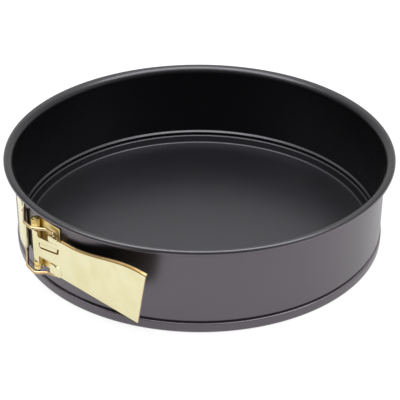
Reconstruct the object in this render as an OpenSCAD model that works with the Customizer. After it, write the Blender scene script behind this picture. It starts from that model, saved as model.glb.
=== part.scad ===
/* [Band] */
// Outside diameter of the straight wall
wall_od = 260; // [200:1:320]
// Overall height over the rolled rim
pan_h = 66.9; // [55:0.1:90]
// Sheet thickness of the band
band_sheet = 0.6; // [0.4:0.05:0.8]
// Outside diameter of the rolled rim bead
rim_bead_d = 5.5; // [4.5:0.1:7]
// How far the middle of the bead stands out from the middle of the wall sheet
rim_reach = 4.1; // [3.6:0.1:6]
// Angle by which the wall flares out under the bead
rim_flare = 35; // [25:1:45]
// Part of a turn that the bead leaves open behind, in degrees
rim_open = 65; // [50:1:90]
// Slit between the two ends of the band under the clasp
band_slit = 0.5; // [0.3:0.1:2]
// Slit at the back, where the springy band is cut
back_slit = 0.15; // [0.1:0.05:0.5]

/* [Foot of the band] */
// Height of the middle of the inward ridge
ridge_z = 9.4; // [8.8:0.1:12]
// How far the ridge stands in from the wall
ridge_depth = 1.2; // [0.8:0.1:1.5]
// Half of the height that the ridge takes up on the wall
ridge_half_h = 1.8; // [1.5:0.1:2]
// Width of the foot channel between the middles of its two legs
foot_w = 1.8; // [1.5:0.1:2.4]
// Height of the inner leg, the ledge that the base sits on
ledge_z = 5.4; // [4:0.1:5.8]
// Height of the foot above the table
foot_lift = 0.2; // [0.1:0.1:0.6]

/* [Base] */
// Sheet thickness of the base
base_sheet = 0.7; // [0.5:0.05:0.9]
// Outward slope of the riser round the floor
riser_run = 2.1; // [1:0.1:4]
// Gap between the riser and the inner leg of the foot
riser_gap = 0.4; // [0.3:0.05:1]
// Running gap between the base and the foot of the band
base_gap = 0.3; // [0.2:0.05:0.4]

/* [Lever] */
// Sheet thickness of the lever
lever_sheet = 0.8; // [0.6:0.05:1]
// Distance from the wall to the outer face of the blade, at its nearest
lever_standoff = 4.1; // [3.8:0.1:5]
// Height of the lower edge
lever_z = 21.3; // [21.2:0.1:23]
// Height of the upper edge at the neck
neck_z = 49.2; // [48.5:0.1:49.8]
// How much higher the head is than the neck
head_rise = 0.7; // [0.2:0.1:1]
// Height of the upper edge at the free end
tip_z = 60.7; // [52:0.1:64]
// Length from the near point to the free end, along the lower edge
blade_l = 77.9; // [60:0.1:100]
// How much longer the upper edge is than the lower one
tip_slant = 7.7; // [0:0.1:12]
// Depth of the folded edges beside the head
fold_head = 2.0; // [1.4:0.1:2.2]
// Depth of the folded edges at the free end
fold_tip = 4.5; // [3:0.1:6]
// Place of the crease between head and blade, from the near point
crease_x = 5.2; // [5:0.1:8]
// How far the head's face lies inside the top of its knuckle
head_tuck = 0.15; // [0.1:0.05:0.3]
// Depth of the notches in the upper and lower edge of the head
notch_h = 7.5; // [5:0.1:9]
// Width of those notches
notch_w = 11.5; // [8:0.1:12]
// Height of the underside of the raised rib on the head
rib_z = 37.5; // [33:0.1:38.5]
// Height of the rib
rib_h = 3; // [2:0.1:3.5]
// How far the rib stands out
rib_out = 1; // [0.5:0.1:1.5]
// Length of the rib
rib_l = 19.5; // [12:0.5:20]
// Height of the two raised ears that hold the ends of the bail
ear_h = 7.2; // [6.5:0.1:8]

/* [Hinge of the lever] */
// Distance of the hinge from the near point, along the blade
hinge_x = 20.2; // [19.5:0.1:24]
// Diameter of the hinge pin
pin_d = 4.4; // [3:0.1:4.6]
// Radial running clearance of the pins
pin_clear = 0.05; // [0.02:0.01:0.1]
// Sheet thickness of the bracket, and of its rolled knuckles
bracket_sheet = 0.9; // [0.7:0.05:1]
// Gap between the lever's rolled knuckle and the wall
knuckle_gap = 0.3; // [0.2:0.05:0.6]
// Lowest point of the bracket's lower knuckle
hinge_z0 = 16.8; // [15:0.1:18]
// Lowest point of the lever's knuckle
hinge_z1 = 23; // [22.5:0.1:25]
// Highest point of the lever's knuckle
hinge_z2 = 47.5; // [45:0.1:48]
// Highest point of the bracket's upper knuckle
hinge_z3 = 55.2; // [52:0.1:56]
// Gap along the hinge between one knuckle and the next
knuckle_slit = 0.3; // [0.2:0.05:0.6]
// Right edge of the bracket, past the near point
bracket_x = 2.4; // [0:0.1:6]
// Height of the bracket's lower edge
bracket_z0 = 19.2; // [17.5:0.1:21]
// Height of the bracket's upper edge
bracket_z1 = 56; // [55.4:0.1:57]

/* [Bail] */
// Diameter of the bail's wire
wire_d = 2; // [1.6:0.1:2.2]
// Distance of the bail's knuckle from the near point, along the blade
bail_x = 40.1; // [38:0.1:44]
// Height of the lower arm
arm_z0 = 19.8; // [19:0.1:19.9]
// Height of the upper arm
arm_z1 = 52; // [51.5:0.1:53]
// How far the arms bow out from the wall to pass the hinge
arm_bow = 9.7; // [9:0.1:12]
// Length of the bow on the left of the hinge
bow_left = 5.4; // [4:0.1:6]
// Length of the bow on the right of the hinge
bow_right = 3.6; // [3:0.1:4]
// Where the arm meets the lever again, on the right of the hinge
bow_foot = 11.4; // [10.5:0.1:12]
// Bending radius of the bow
bow_bend = 5; // [3:0.5:6]
// Bending radius at the leg and at the bent ends
leg_bend = 1.6; // [1.4:0.1:1.7]
// How much the wire swells at each bend, in radius
bend_swell = 0.02; // [0.02:0.01:0.05]
// Place of the bent ends, from the near point
end_x = -0.5; // [-1:0.1:0]
// Length of each arm's end, bent in behind the lever
end_l = 7; // [6:0.1:8]
// Sideways play of the bent ends in their slots
end_play = 0.5; // [0.45:0.05:0.6]
// Play of the bent ends along their slots, toward the hinge
slot_in = 2.2; // [2.1:0.1:2.6]
// Play of the bent ends along their slots, away from the hinge
slot_out = 3.5; // [3.4:0.1:3.8]
// Width of the lip that closes a slot on the wall side
slot_lip = 0.4; // [0.3:0.05:0.5]
// Sheet thickness of the bail's plate
plate_sheet = 0.7; // [0.5:0.05:0.9]
// How far the plate's rolled edge is set out from its back
roll_lift = 0.15; // [0.1:0.05:0.3]
// Left edge of that plate, from the near point
plate_x = 60; // [54:0.1:66]
// Height of the plate's lower edge
plate_z0 = 14.5; // [13:0.1:18]
// Height of the plate's upper edge
plate_z1 = 55.5; // [53:0.1:57]

/* [Rivets] */
// Diameter of a rivet's shank
rivet_d = 2.4; // [2:0.1:3]
// Diameter of a rivet's flat heads
rivet_head_d = 4.2; // [3.6:0.1:5]
// Thickness of a rivet's head
rivet_head_h = 0.5; // [0.3:0.05:0.7]
// Distance of the bail plate's rivets from the near point
plate_rivet_x = 48; // [46:0.1:50]
// Distance of the bracket's rivets from the near point
bracket_rivet_x = 10; // [8.5:0.1:12]

/* [Hidden] */
$fn = 96;

// Dark non-stick coat, and the pale gold of the clasp
coat = [0.26, 0.26, 0.28];
gold = [0.87, 0.80, 0.52];
gold_deep = [0.80, 0.66, 0.32];

// Gap that keeps touching pieces from overlapping
seat = 0.05;
// Room past a cut, so that cutters run clear through
over = 1;
// Small step between faces that would otherwise lie in one plane
step = 0.1;

// Band: radii and the places of its bends
wall_r = wall_od / 2;
wall_in = wall_r - band_sheet;
wall_mid = wall_r - band_sheet / 2;
bead_r = rim_bead_d / 2 - band_sheet / 2;
bead_x = wall_mid + rim_reach;
bead_z = pan_h - rim_bead_d / 2;
flare_r = (rim_reach - bead_r * cos(rim_flare)) / (1 - cos(rim_flare));
flare_z = bead_z - (flare_r - bead_r) * sin(rim_flare);
ridge_r = (ridge_depth * ridge_depth + ridge_half_h * ridge_half_h) / (2 * ridge_depth);
ridge_x = wall_mid - ridge_depth + ridge_r;
ridge_turn = acos((ridge_r - ridge_depth) / ridge_r);
foot_r = foot_w / 2;
foot_x = wall_mid - foot_r;
foot_z = foot_lift + foot_r + band_sheet / 2;
leg_in = wall_mid - foot_w - band_sheet / 2;

// Base: the flange lies on the ledge
flange_z = ledge_z + base_gap;
flange_top = flange_z + base_sheet;
flange_r = wall_in - base_gap;
riser_top_r = leg_in - riser_gap - base_sheet;
floor_r = riser_top_r - riser_run;

// Clasp: the near point is where the blade comes closest to the wall, at -Y
function on_round(r, x) = [-x, -sqrt(r * r - x * x)];
function turn_at(x, r) = 270 - asin(x / r);
knuckle_r = pin_d / 2 + pin_clear + bracket_sheet;
pin_hole_r = pin_d / 2 + pin_clear;
hinge = on_round(wall_r + knuckle_gap + knuckle_r, hinge_x);
wire_r = wire_d / 2;
wire_hole_r = wire_r + pin_clear;
roll_r = wire_hole_r + plate_sheet;
bail_at = on_round(wall_r + seat + roll_lift + roll_r, bail_x);
gap_turn = turn_at((hinge_x + bail_x) / 2, wall_r);
back_turn = gap_turn - 180;

// Lever: head, ears and slots, worked out from the bracket outwards
bracket_r = wall_r + seat + bracket_sheet;
lip_y = -(bracket_r + base_gap);
end_y = lip_y - slot_lip - end_play - wire_r;
slot_x0 = end_x - slot_in - wire_r;
slot_x1 = end_x + slot_out + wire_r;
ear_x0 = slot_x0 - lever_sheet;
ear_x1 = slot_x1 + lever_sheet;
slot_face = end_y - wire_r - end_play;
ear_face = slot_face - lever_sheet;
lever_face = -(wall_r + lever_standoff);
head_top = neck_z + head_rise;
crease = [crease_x, lever_face];
to_hinge = hinge - crease;
head_r = knuckle_r - head_tuck;
head_tilt = atan2(-to_hinge[1], -to_hinge[0]) + asin(head_r / norm(to_hinge));
head_l = sqrt(norm(to_hinge) * norm(to_hinge) - head_r * head_r);
tip_x = blade_l + tip_slant;

// Bail: plan of an arm, from its knuckle round the hinge to the lever
arm_r = wall_r + arm_bow;
arm_plan = [bail_at, on_round(arm_r, hinge_x + bow_left), on_round(arm_r, hinge_x - bow_right),
            [hinge[0] + bow_foot, end_y], [end_x, end_y]];
arm_bends = [leg_bend, bow_bend, bow_bend, bow_bend, leg_bend];
function raised(plan, z) = [for (p = plan) [p[0], p[1], z]];
function backward(list) = [for (i = [len(list) - 1 : -1 : 0]) list[i]];
bail_path = concat([[end_x, end_y, arm_z0 + end_l]], backward(raised(arm_plan, arm_z0)),
                   raised(arm_plan, arm_z1), [[end_x, end_y, arm_z1 - end_l]]);
bail_bends = concat([0], backward(arm_bends), arm_bends, [0]);

// Heights of the rivets
plate_rivet_z = [19, 27, 42.5, 50];
bracket_rivet_z = [27, 34];

// A strip of sheet bent round a centre, from angle a0 to a1, under half a turn
module bend(r, t, a0, a1) {
    reach = 2 * (r + t);
    mid = (a0 + a1) / 2;
    intersection() {
        difference() {
            circle(r + t / 2);
            circle(r - t / 2);
        }
        polygon([[0, 0], reach * [cos(a0), sin(a0)], reach * [cos(mid), sin(mid)],
                 reach * [cos(a1), sin(a1)]]);
    }
}

// A nearly closed curl that leaves out the turn from a0 to a1
module curl(r, t, a0, a1) {
    reach = 2 * (r + t);
    mid = (a0 + a1) / 2;
    difference() {
        circle(r + t / 2);
        circle(r - t / 2);
        polygon([[0, 0], reach * [cos(a0), sin(a0)], reach * [cos(mid), sin(mid)],
                 reach * [cos(a1), sin(a1)]]);
    }
}

// Section of the band: foot channel, ridge, wall, flare and rolled rim
module band_section() {
    lap = 0.02;
    ledge_h = ledge_z - foot_z + lap;
    foot_leg_h = ridge_z - ridge_half_h - foot_z + 2 * lap;
    wall_z = ridge_z + ridge_half_h - lap;
    translate([leg_in, foot_z - lap]) square([band_sheet, ledge_h]);
    translate([foot_x, foot_z]) bend(foot_r, band_sheet, 180, 270);
    translate([foot_x, foot_z]) bend(foot_r, band_sheet, 270, 360);
    translate([wall_in, foot_z - lap]) square([band_sheet, foot_leg_h]);
    translate([ridge_x, ridge_z]) bend(ridge_r, band_sheet, 180 - ridge_turn, 180 + ridge_turn);
    translate([wall_in, wall_z]) square([band_sheet, flare_z - wall_z + lap]);
    translate([wall_mid + flare_r, flare_z]) bend(flare_r, band_sheet, 180 - rim_flare, 180);
    translate([bead_x, bead_z])
        curl(bead_r, band_sheet, 180 - rim_flare, 180 - rim_flare + rim_open);
}

// A stretch of the band between two angles
module band_arc(a0, a1) {
    rotate([0, 0, a0]) rotate_extrude(angle = a1 - a0) band_section();
}

// A sheet that lies on the wall, between two places along the blade and two heights
module wall_plate(x0, x1, z0, z1, t) {
    a0 = turn_at(x0, wall_r);
    a1 = turn_at(x1, wall_r);
    rotate([0, 0, a0]) rotate_extrude(angle = a1 - a0)
        translate([wall_r + seat, z0]) square([t, z1 - z0]);
}

// Radial placing: +Z of the child points out of the wall
module out_of_wall(x, z) {
    rotate([0, 0, turn_at(x, wall_r)]) translate([0, 0, z]) rotate([0, 90, 0]) children();
}

// Clear holes for a column of rivets
module rivet_holes(x, heights) {
    for (z = heights)
        out_of_wall(x, z) translate([0, 0, wall_in - over])
            cylinder(r = rivet_d / 2 + seat, h = band_sheet + plate_sheet + 3 * over);
}

// A column of flat-headed rivets through the wall and a sheet on it
module rivets(x, heights, t) {
    chord = sqrt(wall_in * wall_in - rivet_head_d * rivet_head_d / 4);
    inner = chord - seat;
    outer = wall_r + seat + t + seat;
    for (z = heights)
        out_of_wall(x, z) {
            translate([0, 0, inner - rivet_head_h]) cylinder(d = rivet_head_d, h = rivet_head_h);
            translate([0, 0, inner - rivet_head_h]) cylinder(d = rivet_d, h = outer - inner + rivet_head_h);
            translate([0, 0, outer]) cylinder(d1 = rivet_head_d, d2 = rivet_head_d * 0.7, h = rivet_head_h);
        }
}

// An upright sheet: its outline in X and Z, its outer face at y
module upright(y, t) {
    translate([0, y + t, 0]) rotate([90, 0, 0]) linear_extrude(t) children();
}

// A rolled knuckle round the hinge pin
module knuckle(z0, z1) {
    translate([hinge[0], hinge[1], z0]) cylinder(r = knuckle_r, h = z1 - z0);
}

module hinge_bore() {
    translate([hinge[0], hinge[1], 0]) cylinder(r = pin_hole_r, h = pan_h);
}

// Straight run of wire between two points
module wire_run(p, q) {
    way = q - p;
    translate(p) rotate([0, acos(way[2] / norm(way)), atan2(way[1], way[0])])
        cylinder(r = wire_r, h = norm(way));
}

// Bend of the wire at a corner, with the runs way_in into it and way_out out of it
module wire_bend(corner, way_in, way_out, r) {
    turn = acos(way_in * way_out);
    axis = cross(way_in, way_out) / sin(turn);
    to_middle = (way_out - way_in) / norm(way_out - way_in);
    middle = corner + to_middle * r / cos(turn / 2);
    start = (corner - way_in * r * tan(turn / 2) - middle) / r;
    multmatrix([[start[0], way_in[0], axis[0], middle[0]],
                [start[1], way_in[1], axis[1], middle[1]],
                [start[2], way_in[2], axis[2], middle[2]]])
        rotate_extrude(angle = turn) translate([r, 0]) circle(wire_r + bend_swell);
}

// Wire along a list of points, with a bending radius at each inner one; the runs dip into the bends
module bent_wire(points, bends) {
    last = len(points) - 1;
    ways = [for (i = [0 : last - 1]) (points[i + 1] - points[i]) / norm(points[i + 1] - points[i])];
    cuts = [for (i = [0 : last])
            i == 0 || i == last ? 0 : bends[i] * tan(acos(ways[i - 1] * ways[i]) / 2) - step];
    for (i = [0 : last - 1])
        wire_run(points[i] + ways[i] * cuts[i], points[i + 1] - ways[i] * cuts[i + 1]);
    for (i = [1 : last - 1])
        wire_bend(points[i], ways[i - 1], ways[i], bends[i]);
}

// Shape of the blade's upper edge: a slow rise from the neck to the free end
rise_x = 14;
rise_l = tip_x + 4 - rise_x;
function rise(u) = u * u * (3 - 2 * u);
function top_edge(x) = neck_z + (tip_z - neck_z) * rise(max(0, (x - rise_x) / rise_l));
edge_steps = 14;
edge_x = [for (i = [0 : edge_steps]) crease_x + (tip_x - crease_x) * i / edge_steps];

module base_plate() {
    color(coat) rotate_extrude()
        polygon([[0, 0], [floor_r + base_sheet, 0], [riser_top_r + base_sheet, flange_z],
                 [flange_r, flange_z], [flange_r, flange_top], [riser_top_r, flange_top],
                 [floor_r, base_sheet], [0, base_sheet]]);
}

module band_right() {
    end = asin(band_slit / 2 / wall_r);
    back = asin(back_slit / 2 / wall_r);
    color(coat) difference() {
        band_arc(gap_turn + end, back_turn + 360 - back);
        rivet_holes(bracket_rivet_x, bracket_rivet_z);
    }
}

module band_left() {
    end = asin(band_slit / 2 / wall_r);
    back = asin(back_slit / 2 / wall_r);
    color(coat) difference() {
        band_arc(back_turn + back, gap_turn - end);
        rivet_holes(plate_rivet_x, plate_rivet_z);
    }
}

// A block in front of the wall, between two places along the blade and two heights
module cut_block(x0, x1, z0, z1) {
    translate([-x0, -(wall_r + arm_bow), z0]) cube([x0 - x1, 2 * arm_bow + bail_x / 2, z1 - z0]);
}

module bail_plate() {
    roll_z0 = arm_z0 + leg_bend + knuckle_slit;
    roll_z1 = arm_z1 - leg_bend - knuckle_slit;
    neck_x = bail_x + 2 * roll_r;
    color(gold) difference() {
        union() {
            difference() {
                wall_plate(plate_x, bail_x, plate_z0, plate_z1, plate_sheet);
                cut_block(neck_x, hinge_x, 0, roll_z0);
                cut_block(neck_x, hinge_x, roll_z1, pan_h);
            }
            translate([bail_at[0], bail_at[1], roll_z0]) cylinder(r = roll_r, h = roll_z1 - roll_z0);
        }
        translate([bail_at[0], bail_at[1], 0]) cylinder(r = wire_hole_r, h = pan_h);
        rivet_holes(plate_rivet_x, plate_rivet_z);
    }
}

module bail_plate_rivets() {
    color(gold) rivets(plate_rivet_x, plate_rivet_z, plate_sheet);
}

module bail() {
    color(gold) bent_wire(bail_path, bail_bends);
}

module lever_bracket() {
    plate_edge = hinge_x - knuckle_r - base_gap - knuckle_gap;
    color(gold_deep) difference() {
        union() {
            difference() {
                wall_plate(hinge_x, -bracket_x, bracket_z0, bracket_z1, bracket_sheet);
                cut_block(bail_x, plate_edge, hinge_z1 - knuckle_slit, hinge_z2 + knuckle_slit);
                cut_block(bail_x, plate_edge, hinge_z3, pan_h);
            }
            knuckle(hinge_z0, hinge_z1 - knuckle_slit);
            knuckle(hinge_z2 + knuckle_slit, hinge_z3);
        }
        hinge_bore();
        rivet_holes(bracket_rivet_x, bracket_rivet_z);
    }
}

module bracket_rivets() {
    color(gold_deep) rivets(bracket_rivet_x, bracket_rivet_z, bracket_sheet);
}

module lever_pin() {
    proud = 0.3;
    color(gold_deep) translate([hinge[0], hinge[1], hinge_z0 - proud])
        cylinder(d = pin_d, h = hinge_z3 - hinge_z0 + 2 * proud);
}

// Outline of the lever seen from outside: head with its notches, then the blade
module lever_outline() {
    notch_x1 = ear_x0;
    notch_x0 = notch_x1 - notch_w;
    head_x0 = hinge[0] - knuckle_r;
    low_z = hinge_z1 + step;
    high_z = hinge_z2 - step;
    notch_z = head_top - notch_h;
    low_notch_z = lever_z + notch_h;
    polygon(concat([[head_x0, low_z], [head_x0, high_z], [notch_x0, high_z], [notch_x0, notch_z],
                    [notch_x1, notch_z], [notch_x1, neck_z], [crease_x, neck_z]],
                   [for (x = edge_x) [x, top_edge(x)]],
                   [[blade_l, lever_z], [notch_x1, lever_z], [notch_x1, low_notch_z],
                    [notch_x0, low_notch_z], [notch_x0, low_z]]));
}

// The lever seen from above: sheet of the head and blade, and the reach of the folded edges
module lever_plan() {
    fold_x = crease_x + lever_sheet;
    inner = lever_face + lever_sheet;
    foot = crease - head_l * [cos(head_tilt), sin(head_tilt)];
    inward = lever_sheet * [-sin(head_tilt), cos(head_tilt)];
    polygon([[tip_x, lever_face], crease, foot, foot + inward, crease + inward, [fold_x, inner],
             [fold_x, inner + fold_head], [tip_x, inner + fold_tip]]);
}

// Room between the two folded edges
module fold_room() {
    low_z = lever_z + lever_sheet;
    upright(lever_face + lever_sheet, fold_tip + over)
        polygon(concat([[crease_x, low_z]], [for (x = edge_x) [x, top_edge(x) - lever_sheet]],
                       [[tip_x + over, tip_z - lever_sheet], [tip_x + over, low_z]]));
}

// One raised ear over the bent end of an arm; its lip is at lip_z, its closed end at end_z
module ear(lip_z, end_z) {
    way = sign(end_z - lip_z);
    inside = lip_z + way * lever_sheet;
    back_y = lever_face + lever_sheet - step;
    low = min(lip_z, end_z);
    room_low = min(inside, end_z + way * over);
    difference() {
        translate([ear_x0, ear_face, low]) cube([ear_x1 - ear_x0, lip_y - ear_face, ear_h]);
        translate([ear_x0 - over, back_y, room_low])
            cube([ear_x1 - ear_x0 + 2 * over, lip_y - back_y + over, ear_h - lever_sheet + over]);
    }
}

// Pocket and slot of an ear
module ear_slot(lip_z, end_z) {
    way = sign(end_z - lip_z);
    low = min(lip_z - way * over, end_z - way * lever_sheet);
    translate([slot_x0, slot_face, low])
        cube([slot_x1 - slot_x0, lip_y - slot_lip - slot_face, ear_h - lever_sheet + over]);
}

// Raised rib across the head, sharp below and sloped above
module rib() {
    start = ear_x1 - rib_l - 2 * step;
    translate([crease[0], crease[1], 0]) rotate([0, 0, head_tilt]) translate([start - crease_x, 0, 0])
        rotate([90, 0, 90]) linear_extrude(rib_l)
            polygon([[lever_sheet / 2, rib_z], [-rib_out, rib_z], [-rib_out, rib_z + rib_h / 3],
                     [lever_sheet / 2, rib_z + rib_h]]);
}

module lever() {
    low_lip = lever_z - step;
    color(gold) difference() {
        union() {
            difference() {
                intersection() {
                    linear_extrude(pan_h) lever_plan();
                    upright(ear_face - over, -ear_face) lever_outline();
                }
                fold_room();
            }
            knuckle(hinge_z1, hinge_z2);
            rib();
            ear(low_lip, low_lip + ear_h);
            ear(head_top, head_top - ear_h);
        }
        ear_slot(low_lip, low_lip + ear_h);
        ear_slot(head_top, head_top - ear_h);
        hinge_bore();
    }
}

base_plate();
band_right();
band_left();
bail_plate();
bail_plate_rivets();
bail();
lever_bracket();
bracket_rivets();
lever_pin();
lever();
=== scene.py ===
# %% [markdown]
# # A springform pan
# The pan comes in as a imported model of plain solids, which is the fixed frame.
# Every piece made here sits in that frame, in metres, and rides on one of its bodies.
# Sizes are written in millimetres, and become metres where a mesh is made.

# %% Load the frame
import math

import bmesh
import bpy
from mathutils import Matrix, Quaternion, Vector


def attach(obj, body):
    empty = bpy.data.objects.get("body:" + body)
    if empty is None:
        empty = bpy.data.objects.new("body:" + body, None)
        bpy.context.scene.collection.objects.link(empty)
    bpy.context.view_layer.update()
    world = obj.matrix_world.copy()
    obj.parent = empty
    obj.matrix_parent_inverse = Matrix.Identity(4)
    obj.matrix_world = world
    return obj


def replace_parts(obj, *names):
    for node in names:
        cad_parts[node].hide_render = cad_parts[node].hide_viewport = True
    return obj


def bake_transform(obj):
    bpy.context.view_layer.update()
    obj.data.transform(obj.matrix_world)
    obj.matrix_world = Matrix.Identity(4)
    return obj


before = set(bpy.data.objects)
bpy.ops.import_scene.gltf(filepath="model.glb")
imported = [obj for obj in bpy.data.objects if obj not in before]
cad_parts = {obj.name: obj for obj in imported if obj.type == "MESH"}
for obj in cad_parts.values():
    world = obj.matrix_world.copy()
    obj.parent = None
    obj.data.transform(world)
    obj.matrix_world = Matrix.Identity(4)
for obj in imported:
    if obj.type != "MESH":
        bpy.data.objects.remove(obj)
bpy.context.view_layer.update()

MM = 0.001
WHITE = (1, 1, 1, 1)

# %% [markdown]
# ## Camera
# The photograph looks down on the pan at about thirty degrees, with a long lens and the clasp
# on the left. The lens, distance and height come from fitting circles of the pan to its ellipses
# in the picture. A small shift frames the pan as the picture does.

# %% Camera
AZIMUTH, ELEVATION = math.radians(44.0), math.radians(30.3)
DISTANCE = 884.15
LOOK_AT = Vector((0, 0, 32.5 * MM))
LEAN = math.radians(0.23)
SENSOR, LENS = 36, 111.3
SHIFT_X, SHIFT_Y = 0.0015, -0.0353

back = Vector((math.sin(AZIMUTH) * math.cos(ELEVATION),
               -math.cos(AZIMUTH) * math.cos(ELEVATION),
               math.sin(ELEVATION)))
bpy.ops.object.select_all(action="DESELECT")
bpy.ops.object.camera_add(location=LOOK_AT + back * DISTANCE * MM)
camera = bpy.context.object
camera.name = "camera"
camera.rotation_mode = "QUATERNION"
level = (-back).to_track_quat("-Z", "Y")
camera.rotation_quaternion = level @ Quaternion((0, 0, 1), LEAN)
camera.data.sensor_width = SENSOR
camera.data.lens = LENS
camera.data.shift_x, camera.data.shift_y = SHIFT_X, SHIFT_Y
camera.data.clip_start = 0.01
bpy.context.scene.camera = camera
print("camera at", tuple(camera.location))

# %% [markdown]
# ## Floor
# The floor glows a little by itself, as a light table does, so that it stays white close to the pan
# and keeps only a faint contact shadow. It belongs to the stage, not to the part.

# %% Floor
FLOOR_SIZE, FLOOR_LEVEL = 12, -0.0002

bpy.ops.object.select_all(action="DESELECT")
bpy.ops.mesh.primitive_plane_add(size=FLOOR_SIZE, location=(0, 0, FLOOR_LEVEL))
floor = bpy.context.object
floor.name = "floor"
paper = bpy.data.materials.new("white_paper")
paper.use_nodes = True
shader = paper.node_tree.nodes["Principled BSDF"]
for key, value in {"Base Color": (0.12, 0.12, 0.12, 1), "Roughness": 0.9, "Specular IOR Level": 0.1,
                   "Emission Color": WHITE, "Emission Strength": 0.86}.items():
    shader.inputs[key].default_value = value
floor.data.materials.append(paper)
print("floor of", FLOOR_SIZE, "metres")

# %% [markdown]
# ## Sky
# The dark coat and the gold plating show mostly what they mirror, so the room matters more than
# any lamp. The room is a white tent that is brightest overhead. It is dimmer on the camera's side,
# where a photographer would stand, and has a darker band low in front of the clasp, so that the
# upright walls stay dark. The camera itself sees plain white behind the pan.

# %% Steps of the sky
sky = bpy.data.worlds.new("white_room")
bpy.context.scene.world = sky
sky.use_nodes = True
nodes, links = sky.node_tree.nodes, sky.node_tree.links


def sky_step(value, first, last, low, high):
    """A soft step of the sky, from low at the first value to high at the last one."""
    step = nodes.new("ShaderNodeMapRange")
    step.interpolation_type = "SMOOTHSTEP"
    for key, number in {"From Min": first, "From Max": last, "To Min": low, "To Max": high}.items():
        step.inputs[key].default_value = number
    links.new(value, step.inputs["Value"])
    return step.outputs["Result"]


def product(a, b):
    """Multiplies two values of the sky."""
    times = nodes.new("ShaderNodeMath")
    times.operation = "MULTIPLY"
    links.new(a, times.inputs[0])
    links.new(b, times.inputs[1])
    return times.outputs["Value"]

print("sky:", sky.name)

# %% Brightness of the sky
CAMERA_WAY = (math.sin(AZIMUTH), -math.cos(AZIMUTH), 0.2)
CAMERA_SIDE = (0.2, 0.85, 1.0, 0.3)
IN_FRONT, LOW_DOWN = (-0.5, 0.05, 1, 0), (0.15, 0.45, 1, 0)
DARK_BAND = (0, 1, 1, 0.3)
OVERHEAD = (0.45, 0.75, 0.9, 2.1)

way = nodes.new("ShaderNodeTexCoord").outputs["Generated"]
toward_camera = nodes.new("ShaderNodeVectorMath")
toward_camera.operation = "DOT_PRODUCT"
toward_camera.inputs[1].default_value = CAMERA_WAY
links.new(way, toward_camera.inputs[0])
axes = nodes.new("ShaderNodeSeparateXYZ")
links.new(way, axes.inputs["Vector"])

side = sky_step(toward_camera.outputs["Value"], *CAMERA_SIDE)
front_low = product(sky_step(axes.outputs["Y"], *IN_FRONT), sky_step(axes.outputs["Z"], *LOW_DOWN))
band = sky_step(front_low, *DARK_BAND)
top = sky_step(axes.outputs["Z"], *OVERHEAD)

room = nodes["Background"]
room.inputs["Color"].default_value = WHITE
links.new(product(product(side, band), top), room.inputs["Strength"])
backdrop = nodes.new("ShaderNodeBackground")
backdrop.inputs["Color"].default_value = WHITE
ray = nodes.new("ShaderNodeLightPath")
either = nodes.new("ShaderNodeMixShader")
links.new(ray.outputs["Is Camera Ray"], either.inputs["Fac"])
links.new(room.outputs["Background"], either.inputs[1])
links.new(backdrop.outputs["Background"], either.inputs[2])
links.new(either.outputs["Shader"], nodes["World Output"].inputs["Surface"])
bpy.context.scene.view_settings.view_transform = "Standard"
print("sky made of", len(nodes), "nodes")

# %% [markdown]
# ## Lamp
# One long, low-powered lamp hangs over the near side of the pan, across the line of sight.
# It draws the thin bright lines along the rim and the foot, which a plain sky would leave out.

# %% Long lamp
LAMP_AT = (0.139, -0.144, 0.9)
LAMP_LENGTH, LAMP_WIDTH, LAMP_POWER = 1.7, 0.42, 18

bpy.ops.object.select_all(action="DESELECT")
bpy.ops.object.light_add(type="AREA", location=LAMP_AT, rotation=(0, 0, AZIMUTH))
lamp = bpy.context.object
lamp.name = "long_lamp"
lamp.data.shape = "RECTANGLE"
lamp.data.size, lamp.data.size_y = LAMP_LENGTH, LAMP_WIDTH
lamp.data.energy = LAMP_POWER
lamp.visible_camera = False
print("lamp:", LAMP_POWER, "watts")

# %% [markdown]
# ## Ways of working
# Sheet metal is drawn the way a bender would think of it: the middle line of the sheet,
# point by point, then turned or pulled into a surface, and given its thickness last.
# These helpers work out the points of a line, start it from a single point, extrude it along,
# spin it or pull it up into a wall, choose what to work on by its place, and apply a modifier.

# %% Points of a line
def spaced(first, last, steps):
    """Evenly spaced values from the first to the last, both included."""
    return [first + (last - first) * i / steps for i in range(steps + 1)]


def arc(middle, radius, first, last, steps):
    """Points along an arc between two angles in degrees."""
    turns = [math.radians(degrees) for degrees in spaced(first, last, steps)]
    return [(middle[0] + radius * math.cos(t), middle[1] + radius * math.sin(t)) for t in turns]


def rounded(points, radii, steps):
    """Rounds each inner corner of a line of points with its own radius."""
    line = [tuple(points[0])]
    for before, corner, after, radius in zip(points, points[1:], points[2:], radii):
        b, c, a = Vector(before), Vector(corner), Vector(after)
        into, out = (c - b).normalized(), (a - c).normalized()
        half = math.acos(max(-1, min(1, into.dot(out)))) / 2
        cut = radius * math.tan(half)
        first, last = c - into * cut, c + out * cut
        for i in range(steps + 1):
            t = i / steps
            line.append(tuple((1 - t) ** 2 * first + 2 * t * (1 - t) * c + t ** 2 * last))
    return line + [tuple(points[-1])]

print("helpers for points ready")

# %% Draw, spin and pull
WELD = 1e-6


def draw_line(name, points):
    """Starts from a tiny plane, merges it to one point and extrudes that point along the line."""
    bpy.ops.object.select_all(action="DESELECT")
    bpy.ops.mesh.primitive_plane_add(size=MM)
    piece = bpy.context.object
    piece.name = name
    bpy.ops.object.mode_set(mode="EDIT")
    bpy.ops.mesh.select_mode(type="VERT")
    bpy.ops.mesh.select_all(action="SELECT")
    bpy.ops.mesh.merge(type="CENTER")
    bpy.ops.transform.translate(value=points[0])
    for here, there in zip(points, points[1:]):
        step = Vector(there) - Vector(here)
        bpy.ops.mesh.extrude_region_move(TRANSFORM_OT_translate={"value": step})
    bpy.ops.mesh.select_all(action="SELECT")
    return piece


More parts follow.
